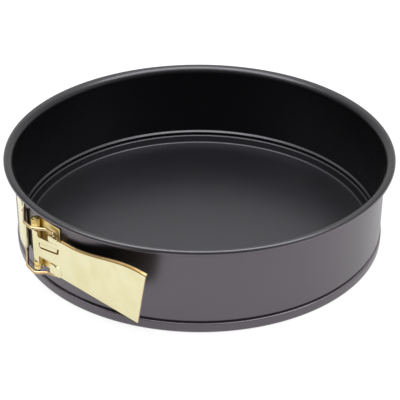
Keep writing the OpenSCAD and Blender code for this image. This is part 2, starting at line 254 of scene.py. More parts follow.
def spin_line(steps, angle):
    """Spins the selected line round the Z axis, welds the surface and turns its faces one way."""
    bpy.ops.mesh.spin(steps=steps, angle=angle, center=(0, 0, 0), axis=(0, 0, 1))
    bpy.ops.mesh.select_all(action="SELECT")
    bpy.ops.mesh.remove_doubles(threshold=WELD)
    bpy.ops.mesh.normals_make_consistent(inside=False)


def pull_up(heights):
    """Extrudes the selected line straight up, from one height to the next."""
    for low, high in zip(heights, heights[1:]):
        step = (0, 0, (high - low) * MM)
        bpy.ops.mesh.extrude_region_move(TRANSFORM_OT_translate={"value": step})

print("helpers for drawing ready")

# %% Choose, cut and move
def choose(piece, test, kind="VERT"):
    """In edit mode, selects points, edges or faces whose middle, in millimetres, passes a test."""
    bpy.ops.mesh.select_mode(type=kind)
    bpy.ops.mesh.select_all(action="DESELECT")
    mesh = bmesh.from_edit_mesh(piece.data)
    for item in {"VERT": mesh.verts, "EDGE": mesh.edges, "FACE": mesh.faces}[kind]:
        points = [item] if kind == "VERT" else list(item.verts)
        middle = sum((v.co for v in points), Vector()) / len(points) / MM
        item.select_set(bool(test(middle)))
    mesh.select_flush(True)
    bmesh.update_edit_mesh(piece.data)


def cut_away(piece, test):
    """Deletes the faces whose middle passes a test."""
    choose(piece, test, "FACE")
    bpy.ops.mesh.delete(type="FACE")


def move(piece, test, by):
    """Moves the points that pass a test, by a step in millimetres."""
    choose(piece, test)
    bpy.ops.transform.translate(value=Vector(by) * MM)


def press(piece, test, y):
    """Presses the points that pass a test onto a plane across Y."""
    choose(piece, test)
    bpy.ops.transform.resize(value=(1, 0, 1), center_override=(0, y * MM, 0))

print("helpers for shaping ready")

# %% Finish a mesh
def select_only(piece):
    """Makes one piece the only selected and the active one."""
    bpy.ops.object.select_all(action="DESELECT")
    piece.select_set(True)
    bpy.context.view_layer.objects.active = piece


def apply_modifier(piece, name, kind, **settings):
    """Adds a modifier with these settings and applies it."""
    modifier = piece.modifiers.new(name, kind)
    for key, value in settings.items():
        setattr(modifier, key, value)
    select_only(piece)
    bpy.ops.object.modifier_apply(modifier=name)


def shade(piece, degrees):
    """Shades a piece smooth, but keeps edges that bend by more than this angle."""
    select_only(piece)
    bpy.ops.object.shade_smooth_by_angle(angle=math.radians(degrees))

print("helpers for finishing ready")

# %% [markdown]
# ## Finishes
# Inside, the pan has a smooth black non-stick coat. Its floor gets a greyer copy of that coat,
# painted light for a floor that faces up to the lamp. Outside it has a lacquer with a fine metallic
# grain. The clasp is steel with thin gold plating, pale on the lever and browner on the cut edges.
# Darker and deeper copies of that plating are painted light and shade: a deeper gold in the hinge,
# a browner one on the wire and the upper bend of the blade, and a dark dull one on the back of the
# blade. All are made from noise on Object coordinates, so they stay on the metal from every side.

# %% Parts of a finish
def new_finish(name, rough, metal=0.0, ior=1.5):
    """A new material, with its node tree and its shader."""
    finish = bpy.data.materials.new(name)
    finish.use_nodes = True
    shader = finish.node_tree.nodes["Principled BSDF"]
    shader.inputs["Roughness"].default_value = rough
    shader.inputs["Metallic"].default_value = metal
    shader.inputs["IOR"].default_value = ior
    return finish, finish.node_tree, shader


def noise(tree, scale):
    """Noise that stays on the piece, with this many grains to the metre."""
    place = tree.nodes.new("ShaderNodeTexCoord")
    grain = tree.nodes.new("ShaderNodeTexNoise")
    grain.inputs["Scale"].default_value = scale
    grain.inputs["Detail"].default_value = 3.0
    tree.links.new(place.outputs["Object"], grain.inputs["Vector"])
    return grain.outputs["Fac"]


def tint(tree, value, stops):
    """Turns a value into a colour between two stops."""
    ramp = tree.nodes.new("ShaderNodeValToRGB")
    for element, (position, colour) in zip(ramp.color_ramp.elements, stops):
        element.position, element.color = position, (*colour, 1)
    tree.links.new(value, ramp.inputs["Fac"])
    return ramp.outputs["Color"]


def bump(tree, value, shader, strength, distance):
    """Gives the shader a fine relief."""
    relief = tree.nodes.new("ShaderNodeBump")
    relief.inputs["Strength"].default_value = strength
    relief.inputs["Distance"].default_value = distance
    tree.links.new(value, relief.inputs["Height"])
    tree.links.new(relief.outputs["Normal"], shader.inputs["Normal"])


def spread(tree, value, low, high):
    """Spreads a value from 0 to 1 over another range."""
    spreader = tree.nodes.new("ShaderNodeMapRange")
    spreader.inputs["To Min"].default_value = low
    spreader.inputs["To Max"].default_value = high
    tree.links.new(value, spreader.inputs["Value"])
    return spreader.outputs["Result"]

print("helpers for finishes ready")

# %% Coats
COAT_CLOUDS, COAT_UNEVEN = 60, 0.04
COAT_RELIEF, COAT_RELIEF_DEPTH = 0.16, 0.0001
SCUFF_TOP, SCUFF_BOTTOM = 0.0006, 0.0001
SCUFF_GRAIN, SCUFF_GREY = 220, (0.16, 0.155, 0.15, 1)


def underneath(tree):
    """A patchy value that rises from 0 to 1 at the very bottom, where a pan rubs on shelves."""
    place, axes = tree.nodes.new("ShaderNodeTexCoord"), tree.nodes.new("ShaderNodeSeparateXYZ")
    tree.links.new(place.outputs["Object"], axes.inputs["Vector"])
    under = tree.nodes.new("ShaderNodeMapRange")
    under.inputs["From Min"].default_value = SCUFF_TOP
    under.inputs["From Max"].default_value = SCUFF_BOTTOM
    tree.links.new(axes.outputs["Z"], under.inputs["Value"])
    patchy = tree.nodes.new("ShaderNodeMath")
    patchy.operation = "MULTIPLY"
    tree.links.new(under.outputs["Result"], patchy.inputs[0])
    tree.links.new(noise(tree, SCUFF_GRAIN), patchy.inputs[1])
    return patchy.outputs["Value"]


def coat(name, dark, light, rough, grain_size, ior, sheen_tint):
    """A sprayed and baked coat: a fine grain, a slow change of gloss, and scuffs underneath."""
    finish, tree, shader = new_finish(name, rough, ior=ior)
    shader.inputs["Specular Tint"].default_value = (*sheen_tint, 1)
    grain = noise(tree, grain_size)
    worn = tree.nodes.new("ShaderNodeMix")
    worn.data_type = "RGBA"
    tree.links.new(underneath(tree), worn.inputs["Factor"])
    tree.links.new(tint(tree, grain, [(0.3, dark), (0.75, light)]), worn.inputs["A"])
    worn.inputs["B"].default_value = SCUFF_GREY
    tree.links.new(worn.outputs["Result"], shader.inputs["Base Color"])
    gloss = spread(tree, noise(tree, COAT_CLOUDS), rough - COAT_UNEVEN, rough + COAT_UNEVEN)
    tree.links.new(gloss, shader.inputs["Roughness"])
    bump(tree, grain, shader, COAT_RELIEF, COAT_RELIEF_DEPTH)
    return finish

nonstick = coat("black_nonstick", (0.0004, 0.0004, 0.0005), (0.0014, 0.0014, 0.0016),
                rough=0.28, grain_size=1600, ior=1.5, sheen_tint=(0.94, 0.93, 1.0))
# A greyer copy of the black coat for the base's floor: painted light, for a floor that faces up to
# the lamp.
lit_floor_coat = coat("floor_nonstick_painted_light", (0.002, 0.002, 0.0026), (0.006, 0.006, 0.0075),
                  rough=0.34, grain_size=1400, ior=1.5, sheen_tint=(0.9, 0.9, 1.0))
lacquer = coat("grey_lacquer", (0.0006, 0.0005, 0.0006), (0.002, 0.0018, 0.002),
               rough=0.32, grain_size=1300, ior=2.02, sheen_tint=(0.98, 0.885, 1.0))
print("coats:", nonstick.name, lit_floor_coat.name, lacquer.name)

# %% Gold plating
PLATE_CLOUDS, PLATE_RUBS, PLATE_GRAIN = 70, 400, 500
PLATE_UNEVEN = 0.06
PLATE_RELIEF, PLATE_RELIEF_DEPTH = 0.05, 0.0002


def plate(name, deep, pale, rough):
    """Thin plating over steel: soft clouds between a deep and a pale colour, and fine rub marks."""
    finish, tree, shader = new_finish(name, rough, metal=1.0)
    colour = tint(tree, noise(tree, PLATE_CLOUDS), [(0.32, deep), (0.66, pale)])
    tree.links.new(colour, shader.inputs["Base Color"])
    rubbed = spread(tree, noise(tree, PLATE_RUBS), rough - PLATE_UNEVEN, rough + PLATE_UNEVEN)
    tree.links.new(rubbed, shader.inputs["Roughness"])
    bump(tree, noise(tree, PLATE_GRAIN), shader, PLATE_RELIEF, PLATE_RELIEF_DEPTH)
    return finish

plating = plate("pale_gold_plating", (0.675, 0.622, 0.37), (0.72, 0.675, 0.44), rough=0.2)
# A deeper, more saturated gold for the bracket, pin and inner head: painted light and shade of the
# hinge.
hinge_painted_gold = plate("deep_gold_painted_hinge_light", (0.80, 0.61, 0.22), (0.88, 0.74, 0.36), rough=0.42)
# A darker, browner copy of the plating for the wire: painted shade for its dark sides.
wire_shade_plating = plate("brown_gold_wire_painted_shade", (0.40, 0.27, 0.13), (0.58, 0.44, 0.26), rough=0.25)
# A dark, dull copy of the plating for the back of the blade: painted shade of the gap behind it.
blade_back_shade_plating = plate("blade_back_painted_shade", (0.20, 0.16, 0.10), (0.28, 0.24, 0.16), rough=0.45)
# Browner plating for the cut edges, also used as painted shade on the blade's upper bend.
edge_and_bend_shade_plating = plate("brown_cut_edge_and_bend_shade", (0.30, 0.19, 0.07), (0.42, 0.29, 0.12), rough=0.35)
print("plating:", plating.name, hinge_painted_gold.name, wire_shade_plating.name, blade_back_shade_plating.name,
      edge_and_bend_shade_plating.name)

# %% [markdown]
# ## The hoop
# The real hoop is one springy strip, open only at the clasp. From the foot upwards it has a small
# channel for the base, an inward ridge, a straight wall and a rim that flares and curls outwards.
# Rollers would form that section along the whole strip, so its middle line is drawn once, as
# distance from the axis and height.

# %% Section of the hoop
SHEET = 0.6
WALL, WALL_ROWS = 129.7, (14, 20, 30, 40, 50, 58)
FOOT, FOOT_LOW = 130.4, 0.5
INNER_LEG, INNER_LEG_TOP = 127.9, 5.4
CHANNEL = (FOOT - INNER_LEG) / 2
SHELF, RIDGE_END = 6.9, 9.4
RIDGE = [(128.2, 7.5), (128.15, 8.3)]
RIDGE_BENDS = (0.6, 0.4, 0.4, 0.7)
RIM_START = 59.4
RIM_BENDS = ((6.5, 60), (2.2, 50), (2.7, 35), (1.3, 215))


def bends(start, turns, steps):
    """Carries an upright line on through bends to the right: a radius and a turn in degrees."""
    line, heading = [start], 90
    for radius, turn in turns:
        r, z = line[-1]
        across = math.radians(heading)
        middle = (r + radius * math.sin(across), z - radius * math.cos(across))
        line += arc(middle, radius, heading + 90, heading + 90 - turn, steps)[1:]
        heading -= turn
    return line

section = [(INNER_LEG, INNER_LEG_TOP), (INNER_LEG, 3.4)]
section += arc(((INNER_LEG + FOOT) / 2, FOOT_LOW + CHANNEL), CHANNEL,
               first=180, last=360, steps=12)
section += rounded([(FOOT, 3.5), (FOOT, SHELF), *RIDGE, (WALL, RIDGE_END), (WALL, WALL_ROWS[0])],
                   RIDGE_BENDS, steps=7)
section += [(WALL, z) for z in WALL_ROWS[1:]]
section += bends((WALL, RIM_START), RIM_BENDS, steps=10)
print("section of the hoop:", len(section), "points")

# %% [markdown]
# The section is spun round the axis in three stretches: two that ride stiffly with the halves of
# the solid band, and one at the back between them, which stays in the fixed frame. The sheet gets
# its thickness last, lacquer outside and non-stick coat inside.
# The coat goes over the top of the rim, and the underside of its curl is lacquer again.

# %% Ways to spin a sheet
def spin_sheet(name, section, start, turn, steps):
    """Draws a section at an angle and spins it round the axis."""
    a = math.radians(start)
    points = [(r * math.cos(a) * MM, r * math.sin(a) * MM, z * MM) for r, z in section]
    piece = draw_line(name, points)
    spin_line(steps, -math.radians(turn))
    bpy.ops.object.mode_set(mode="OBJECT")
    return piece


def outward(piece, height, reach, radius):
    """Turns the faces of a spun sheet so that its wall near this height looks outwards."""
    wall = [f for f in piece.data.polygons
            if abs(f.center.z / MM - height) < reach and f.center.xy.length / MM > radius]
    if sum(f.normal.xy.dot(f.center.xy) for f in wall) < 0:
        bpy.ops.object.mode_set(mode="EDIT")
        bpy.ops.mesh.select_all(action="SELECT")
        bpy.ops.mesh.flip_normals()
        bpy.ops.object.mode_set(mode="OBJECT")

print("helpers for spinning ready")

# %% Spin the hoop
GAP, SLIT = 256.5897, 0.04
BACK, BACK_TURN = GAP - 180, 60
SIDE_TURN = 180 - BACK_TURN / 2
CURL_R, CURL_Z = 135.5, RIM_START + 4.9

stretches = {
    "hoop_right": (GAP + SLIT, SIDE_TURN - SLIT, 200),
    "hoop_back": (BACK - BACK_TURN / 2, BACK_TURN, 80),
    "hoop_left": (BACK + BACK_TURN / 2, SIDE_TURN - SLIT, 200),
}
hoop = {}
for name, (start, turn, steps) in stretches.items():
    piece = spin_sheet(name, section, start, turn, steps)
    outward(piece, height=30, reach=6, radius=120)
    piece.data.materials.append(lacquer)
    piece.data.materials.append(nonstick)
    apply_modifier(piece, "sheet", "SOLIDIFY", thickness=SHEET * MM, offset=0,
                   use_even_offset=True, material_offset=1, material_offset_rim=1)
    bpy.ops.object.mode_set(mode="EDIT")
    choose(piece, lambda p: p.xy.length > CURL_R and p.z < CURL_Z, "FACE")
    piece.active_material_index = 0
    bpy.ops.object.material_slot_assign()
    bpy.ops.object.mode_set(mode="OBJECT")
    shade(piece, degrees=50)
    print(name, len(piece.data.polygons), "faces over", turn, "degrees")
    hoop[name] = piece

# %% Let the hoop ride
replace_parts(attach(hoop["hoop_right"], "pan"), "band_right")
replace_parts(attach(hoop["hoop_left"], "ring_left"), "band_left")
turns = [math.radians(BACK + half) for half in (-BACK_TURN / 2, BACK_TURN / 2)]
side = [Vector((WALL * math.cos(a), WALL * math.sin(a), 0)) * MM for a in turns]
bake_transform(hoop["hoop_back"])
print("hoop rides in", len(hoop), "stretches")

# %% [markdown]
# ## The base
# A loose round plate: a flat floor, a short sloped riser and a flange that lies on the foot of the
# hoop. A press would make it in one stroke from a disc, and the corners of a pressed sheet are
# never sharp, so the section has small bends.

# %% Base
BASE_SHEET = 0.7
BASE_FLOOR, BASE_FLANGE = 0.35, 6.05
FLOOR_R, RISER_R, FLANGE_R = 124.75, 126.85, 129.1
BASE_BENDS = (2.4, 1.4)
FLOOR_RINGS = (0.0, 20, 45, 70, 95, 115)

base_line = rounded([(0.0, BASE_FLOOR), (FLOOR_R, BASE_FLOOR), (RISER_R, BASE_FLANGE),
                     (FLANGE_R, BASE_FLANGE)], BASE_BENDS, steps=8)
base_line = [(r, BASE_FLOOR) for r in FLOOR_RINGS] + base_line[1:]
base = spin_sheet("pan_base", base_line, start=0, turn=360, steps=360)
# The floor of the base gets the greyer copy of the coat, which is painted light.
base.data.materials.append(lit_floor_coat)
apply_modifier(base, "sheet", "SOLIDIFY", thickness=BASE_SHEET * MM, offset=0, use_even_offset=True)
shade(base, degrees=50)
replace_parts(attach(base, "pan"), "base_plate")
print("base:", len(base.data.polygons), "faces")

# %% [markdown]
# ## The clasp
# The clasp is made of pressed sheet and one bent wire. It has five kinds of pieces: a plate on the
# left end of the hoop, a wire bail that turns in its rolled edge, a bracket on the right end,
# a lever that turns in the bracket's knuckles, and rivets.
# All places are in millimetres, with the near point of the wall at (0, -130).

# %% Places of the clasp
WALL_R, SEAT = 130.0, 0.05
HINGE = Vector((-20.2, -131.912))
LEG = Vector((-40.1, -125.709))
EDGE_ROUND = 0.12
INSIDE, CUT_EDGE_AND_BEND_SHADE, HEAD_INSIDE_PAINTED = 1, 2, 3


def on_round(radius, x):
    """The point of a circle round the pan's axis, on the clasp's side, at a place along X."""
    return Vector((x, -math.sqrt(radius * radius - x * x)))


def roll(middle, radius, first, last, steps):
    """Points of a rolled edge round a pin, seen from above."""
    return [Vector(p) for p in arc(middle, radius, first, last, steps)]


def toward_axis(point):
    """The angle in degrees from a place of the clasp to the pan's axis."""
    return math.degrees(math.atan2(-point.y, -point.x))

print("leg of the bail at", tuple(LEG), "and hinge of the lever at", tuple(HINGE))

# %% Sheets of the clasp
def sheet_line(name, plan, low):
    """Draws the plan of a sheet at its lowest height and leaves it selected."""
    return draw_line(name, [(p[0] * MM, p[1] * MM, low * MM) for p in plan])


def round_corners(piece, test, size):
    """Rounds the corner points of a sheet that pass a test."""
    choose(piece, test)
    bpy.ops.mesh.bevel(affect="VERTICES", offset=size * MM, segments=4)


def finish_sheet(piece, thickness, outside, inside, offset=0):
    """Closes a sheet: thickness, plating on both sides, browner rounded cut edges, shading."""
    bpy.ops.object.mode_set(mode="OBJECT")
    for material in (outside, inside, edge_and_bend_shade_plating):
        piece.data.materials.append(material)
    apply_modifier(piece, "sheet", "SOLIDIFY", thickness=thickness * MM, offset=offset,
                   use_even_offset=True, material_offset=INSIDE, material_offset_rim=CUT_EDGE_AND_BEND_SHADE)
    apply_modifier(piece, "edges", "BEVEL", width=EDGE_ROUND * MM, segments=2,
                   limit_method="ANGLE", angle_limit=math.radians(50))
    shade(piece, degrees=40)
    print(piece.name, len(piece.data.polygons), "faces")

print("helpers for sheets ready")

# %% [markdown]
# ## The plate of the bail
# A curved plate lies on the wall and its right edge is rolled round the wire.
# The plan of the sheet, wall and roll in one line, is drawn once and pulled up.
# Then the faces above and below the roll are cut away, as a punch would.

# %% Plate of the bail
PLATE_SHEET = 0.7
PLATE_LEFT, ROLL_START = -60, -43.6
PLATE_LOW, PLATE_HIGH, PLATE_CORNER = 14.5, 55.5, 2.2
ROLL_R, ROLL_TURN = 1.5, 285
ROLL_LOW, ROLL_HIGH = 21.7, 50.1


def plate_corner(p):
    """Whether a point is one of the two free corners of the plate."""
    return p.x < PLATE_LEFT + 0.1 and (p.z < PLATE_LOW + 0.1 or p.z > PLATE_HIGH - 0.1)

inward = toward_axis(LEG)
plate_r = WALL_R + SEAT + PLATE_SHEET / 2
plan = [on_round(plate_r, x) for x in spaced(PLATE_LEFT, ROLL_START, steps=8)]
plan += roll(LEG, ROLL_R, inward, inward - ROLL_TURN, steps=26)
bail_plate = sheet_line("bail_sheet", plan, PLATE_LOW)
pull_up((PLATE_LOW, 17, ROLL_LOW, 30, 40, ROLL_HIGH, 53, PLATE_HIGH))
cut_away(bail_plate, lambda p: p.x > ROLL_START and not ROLL_LOW < p.z < ROLL_HIGH)
round_corners(bail_plate, plate_corner, PLATE_CORNER)
finish_sheet(bail_plate, PLATE_SHEET, plating, plating)
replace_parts(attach(bail_plate, "ring_left"), "bail_plate")

# %% [markdown]
# ## The rivets
# A rivet has a flat head inside the pan and a domed head on the plate. It is spun once from its
# section and copied to its places, each copy with its own mesh.

# %% One rivet
RIVET_HEAD, RIVET_SHANK = 2.1, 1.2
RIVET_EDGE, RIVET_DOME = 0.12, 0.43
RIVET_INSIDE = [(0, 128.84), (1.75, 128.84), (2.08, 129.0), (2.08, 129.33), (RIVET_SHANK, 129.34)]


def make_rivet(name, plate_out):
    """Spins a rivet that stands along Z, with its outer head on a plate at this radius."""
    rim = plate_out + RIVET_EDGE
    section = RIVET_INSIDE + [(RIVET_SHANK, plate_out), (RIVET_HEAD, plate_out)]
    section += [(RIVET_HEAD * math.cos(t), rim + RIVET_DOME * math.sin(t))
                for t in spaced(0, math.pi / 2, steps=6)]
    piece = draw_line(name, [(r * MM, 0, h * MM) for r, h in section])
    spin_line(steps=32, angle=2 * math.pi)
    bpy.ops.object.mode_set(mode="OBJECT")
    return piece


def rivet_row(name, plate_out, x, heights, material):
    """Copies a rivet to its heights, points each copy out of the wall and joins the copies."""
    first = make_rivet(name, plate_out)
    turn = math.atan2(-math.sqrt(WALL_R ** 2 - x * x), x)
    copies = [first]
    for _ in heights[1:]:
        select_only(first)
        bpy.ops.object.duplicate(linked=False)
        copies.append(bpy.context.object)
    bpy.ops.object.select_all(action="DESELECT")
    for copy, z in zip(copies, heights):
        copy.rotation_euler = (0, math.pi / 2, turn)
        copy.location = (0, 0, z * MM)
        copy.select_set(True)
    bpy.context.view_layer.objects.active = first
    bpy.ops.object.transform_apply(location=True, rotation=True, scale=True)
    bpy.ops.object.join()
    first.name = name
    first.data.materials.append(material)
    shade(first, degrees=35)
    print(name, len(heights), "rivets")
    return first

print("rivet with a head of", 2 * RIVET_HEAD, "mm")

# %% Rivets of both plates
BAIL_RIVET_SEAT, BRACKET_RIVET_SEAT = WALL_R + 0.85, WALL_R + 1.05
BAIL_RIVET_X, BAIL_RIVET_Z = -48, (19, 27, 42.5, 50)
BRACKET_RIVET_X, BRACKET_RIVET_Z = -10, (27, 34)

bail_rivets = rivet_row("bail_sheet_rivets", BAIL_RIVET_SEAT, BAIL_RIVET_X, BAIL_RIVET_Z, plating)
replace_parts(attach(bail_rivets, "ring_left"), "bail_plate_rivets")
# The bracket's rivets get the deeper gold painted for the hinge's light and shade.
bracket_rivets = rivet_row("hinge_sheet_rivets", BRACKET_RIVET_SEAT, BRACKET_RIVET_X,
                           BRACKET_RIVET_Z, hinge_painted_gold)
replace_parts(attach(bracket_rivets, "pan"), "bracket_rivets")

# %% [markdown]
# ## The bail
# One wire: a leg in the roll of its plate, two arms that bow round the hinge, and two ends bent
# into the lever. The lower arm sinks a little between its ends, as it does in the picture.
# The corners of its path are rounded, the path becomes a curve with a round section, and that
# becomes a mesh.

# %% Bail
WIRE_R = 1.1
BOW_R, BOW_LEFT, BOW_RIGHT = 139.7, -25.6, -16.6
END_Y, END_FROM, END_X = -133.15, -8.8, -0.5
ARM_LOW, ARM_HIGH = (19.4, 18.2, 17.4, 18.3, 19.8), 52.0
END_LOW, END_HIGH = 25.6, 46.6
LEG_BEND, BOW_BEND = 1.6, 5

arm = [LEG, on_round(BOW_R, BOW_LEFT), on_round(BOW_R, BOW_RIGHT),
       Vector((END_FROM, END_Y)), Vector((END_X, END_Y))]
path = [(*arm[-1], END_LOW)] + [(*p, z) for p, z in reversed(list(zip(arm, ARM_LOW)))]
path += [(*p, ARM_HIGH) for p in arm] + [(*arm[-1], END_HIGH)]
corners = [LEG_BEND, BOW_BEND, BOW_BEND, BOW_BEND, LEG_BEND]
wire_line = rounded(path, corners + corners, steps=8)
bail = draw_line("bail_wire", [Vector(p) * MM for p in wire_line])
bpy.ops.mesh.remove_doubles(threshold=WELD)
bpy.ops.object.mode_set(mode="OBJECT")
bpy.ops.object.convert(target="CURVE")
bail = bpy.context.object
bail.data.bevel_depth = WIRE_R * MM
bail.data.bevel_resolution = 6
bail.data.use_fill_caps = True
bpy.ops.object.convert(target="MESH")
bail = bpy.context.object
bail.name = "bail_wire"
bail.data.materials.clear()
# The wire gets the darker, browner copy of the plating: painted shade.
bail.data.materials.append(wire_shade_plating)
shade(bail, degrees=50)
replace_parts(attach(bail, "bail"), "bail")
print("bail:", len(bail.data.polygons), "faces")

# %% [markdown]
# ## The bracket and its pin
# The bracket is a curved plate like the first one. Its left edge is rolled into two knuckles, one
# above and one below, and the room between them is cut out for the knuckle of the lever.
# A plain pin with rounded ends runs through all three.

# %% Bracket
BRACKET_SHEET = 0.9
BRACKET_RIGHT, KNUCKLE_START = 2.4, -17.8
BRACKET_FOOT, BRACKET_HIGH, BRACKET_CORNER = 19.2, 56, 2
BRACKET_ROLL_R, BRACKET_ROLL_TURN = 2.7, 292
HINGE_LOW, ROOM_LOW, ROOM_HIGH, HINGE_HIGH = 16.8, 22.7, 47.8, 55.2


def bracket_corner(p):
    """Whether a point is one of the two free corners of the bracket."""
    return p.x > BRACKET_RIGHT - 0.1 and (p.z < BRACKET_FOOT + 0.1 or p.z > BRACKET_HIGH - 0.1)


def knuckle_room(p):
    """Whether a place lies between the two knuckles or above the upper one."""
    return p.x < KNUCKLE_START and (ROOM_LOW < p.z < ROOM_HIGH or p.z > HINGE_HIGH)

inward = toward_axis(HINGE)
bracket_r = WALL_R + SEAT + BRACKET_SHEET / 2
plan = [on_round(bracket_r, x) for x in spaced(BRACKET_RIGHT, KNUCKLE_START, steps=10)]
plan += roll(HINGE, BRACKET_ROLL_R, inward, inward + BRACKET_ROLL_TURN, steps=28)
bracket = sheet_line("hinge_sheet", plan, HINGE_LOW)
pull_up((HINGE_LOW, BRACKET_FOOT, ROOM_LOW, 30, 40, ROOM_HIGH, 51, HINGE_HIGH, BRACKET_HIGH))
cut_away(bracket, knuckle_room)
cut_away(bracket, lambda p: p.x > KNUCKLE_START and p.z < BRACKET_FOOT)
round_corners(bracket, bracket_corner, BRACKET_CORNER)
# The bracket gets the deeper gold painted for the hinge's light and shade.
finish_sheet(bracket, BRACKET_SHEET, hinge_painted_gold, hinge_painted_gold)
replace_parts(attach(bracket, "pan"), "lever_bracket")

# %% Pin of the hinge
PIN_R = 2.15
PIN_LINE = [(0, 16.5), (1.6, 16.5), (2.0, 16.7), (PIN_R, 17.0), (PIN_R, 36), (PIN_R, 55.0),
            (2.0, 55.3), (1.6, 55.5), (0, 55.5)]

pin = draw_line("hinge_pin", [(r * MM, 0, z * MM) for r, z in PIN_LINE])
spin_line(steps=40, angle=2 * math.pi)
bpy.ops.transform.translate(value=(HINGE.x * MM, HINGE.y * MM, 0))
bpy.ops.object.mode_set(mode="OBJECT")
# The pin gets the deeper gold painted for the hinge's light and shade.
pin.data.materials.append(hinge_painted_gold)
shade(pin, degrees=30)
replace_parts(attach(pin, "pan"), "lever_pin")
print("pin:", len(pin.data.polygons), "faces")

# %% [markdown]
# ## The lever
# The lever is one pressed sheet. From the left it has a knuckle rolled round the pin, a head with
# notches above and below, two raised ears that hold the ends of the bail, a raised rib, and a long
# blade with bent edges. Its outer face is drawn in plan and pulled up into a grid. The grid's
# columns and rows lie where the cuts and bends come, so the rest is done with cuts and moves.

# %% Columns and rows of the lever
FACE = -134.1
LEVER_SHEET, KNUCKLE_R, KNUCKLE_TURN = 0.8, 3.0, (-20, 271.83)
LOW, NECK = 21.3, 49.2
CREASE, BLADE_END, SLANT = 5.2, 77.2, 7.7
KNUCKLE_END, KNUCKLE_LOW, KNUCKLE_HIGH = -16, 23.1, 47.4
NOTCH_LOW, NOTCH_HIGH = 28.8, 44.4
EAR_LEFT, EAR_FREE, EAR_RIGHT, EAR_STEP = -4.5, 1, 4, 4.4
EAR_END_LOW, EAR_END_HIGH = 28.4, 44.8
EAR_BEND_LOW, EAR_BEND_HIGH = 25.5, 46.2
LIP_LEFT, LIP_LOW, LIP_HIGH = -3.7, 22.1, 48.4
SLIT_LEFT, SLIT_RIGHT, SLIT_LOW = -15.2, EAR_RIGHT, 36.8
RIB_LEFT, RIB_RIGHT = -13.5, 3.4
RIB_EDGE, RIB_CREST, RIB_BACK, RIB_TOP = 38.6, 39.2, 40.4, 41.4

head_x = (-18.2, KNUCKLE_END, SLIT_LEFT, RIB_LEFT, -12.7, -11.5, -9.5, -7.5, -6, EAR_LEFT,
          LIP_LEFT, -1.5, EAR_FREE, 2.6, RIB_RIGHT, EAR_RIGHT, EAR_STEP, 4.9, CREASE)
blade_x = [6, 7.5, *spaced(10, BLADE_END, steps=16)]
rows = (LOW, LIP_LOW, KNUCKLE_LOW, EAR_BEND_LOW, EAR_END_LOW, NOTCH_LOW, 31, 34,
        SLIT_LOW, RIB_EDGE, RIB_CREST, RIB_BACK, RIB_TOP, 42.4, 43.4,
        NOTCH_HIGH, EAR_END_HIGH, EAR_BEND_HIGH, KNUCKLE_HIGH, LIP_HIGH, NECK)


def on_column(p, x):
    """Whether a point of the grid lies on a column."""
    return abs(p.x - x) < 0.01


def on_row(p, z):
    """Whether a point of the grid lies on a row."""
    return abs(p.z - z) < 0.05

print("lever:", len(head_x) + len(blade_x), "flat columns and", len(rows), "rows")

# %% Grid of the lever
HEAD_START = Vector((-20.104, -134.911))

tilt = (FACE - HEAD_START.y) / (CREASE - HEAD_START.x)
plan = roll(HINGE, KNUCKLE_R, *KNUCKLE_TURN, steps=28)
plan += [Vector((x, HEAD_START.y + tilt * (x - HEAD_START.x))) for x in head_x]
plan += [Vector((x, FACE)) for x in blade_x]
lever = sheet_line("lever_sheet", plan, LOW)
pull_up(rows)


def beside_knuckle(p):
    """Above and below the rolled knuckle."""
    return p.x < KNUCKLE_END and not KNUCKLE_LOW < p.z < KNUCKLE_HIGH


def in_notch(p):
    """The notches in the upper and lower edge of the head."""
    return KNUCKLE_END < p.x < EAR_LEFT and not NOTCH_LOW < p.z < NOTCH_HIGH


def behind_ear(p):
    """The fine cuts that free the inner end of each ear."""
    return EAR_LEFT < p.x < EAR_FREE and (EAR_END_LOW < p.z < NOTCH_LOW
                                          or NOTCH_HIGH < p.z < EAR_END_HIGH)


def under_rib(p):
    """The slit along the lower edge of the rib."""
    return SLIT_LEFT < p.x < SLIT_RIGHT and SLIT_LOW < p.z < RIB_EDGE


def beside_rib(p):
    """The slits at both ends of the rib."""
    return SLIT_LOW < p.z < RIB_TOP and (SLIT_LEFT < p.x < RIB_LEFT or RIB_RIGHT < p.x < SLIT_RIGHT)

for place in (beside_knuckle, in_notch, behind_ear, under_rib, beside_rib):
    cut_away(lever, place)
print("grid of the lever:", len(plan), "columns")

# %% [markdown]
# The blade widens towards its free end: its upper edge rises in a slow curve, and its end is cut at
# a slant. Each column of the grid is stretched upwards from the lower edge, then each row along X
# from the crease.

# %% Edges of the blade
RISE_FROM, RISE_OVER = 13, 67
UPPER_START, UPPER_RISE = 48.45, 11.35
LOWER_SLOPE = 0.0185


def upper_edge(x):
    """Height of the blade's upper edge."""
    t = min(1, max(0, (x - RISE_FROM) / RISE_OVER))
    return UPPER_START + UPPER_RISE * t * t * (3 - 2 * t)


def lower_edge(x):
    """Height of the blade's lower edge, which rises a little towards the free end."""
    return LOW + LOWER_SLOPE * (x - CREASE)


def column_top(x):
    """Height that a column of the grid gets, before the rows are stretched along X."""
    return upper_edge(CREASE + (x - CREASE) * (BLADE_END + SLANT - CREASE) / (BLADE_END - CREASE))


def share_of(p):
    """How far up its column a point of the blade lies, from 0 to 1."""
    return (p.z - lower_edge(p.x)) / (column_top(p.x) - lower_edge(p.x))

tip_width = upper_edge(BLADE_END) - lower_edge(BLADE_END)
print("blade widens from", round(NECK - LOW, 1), "to about", round(tip_width, 1), "mm")

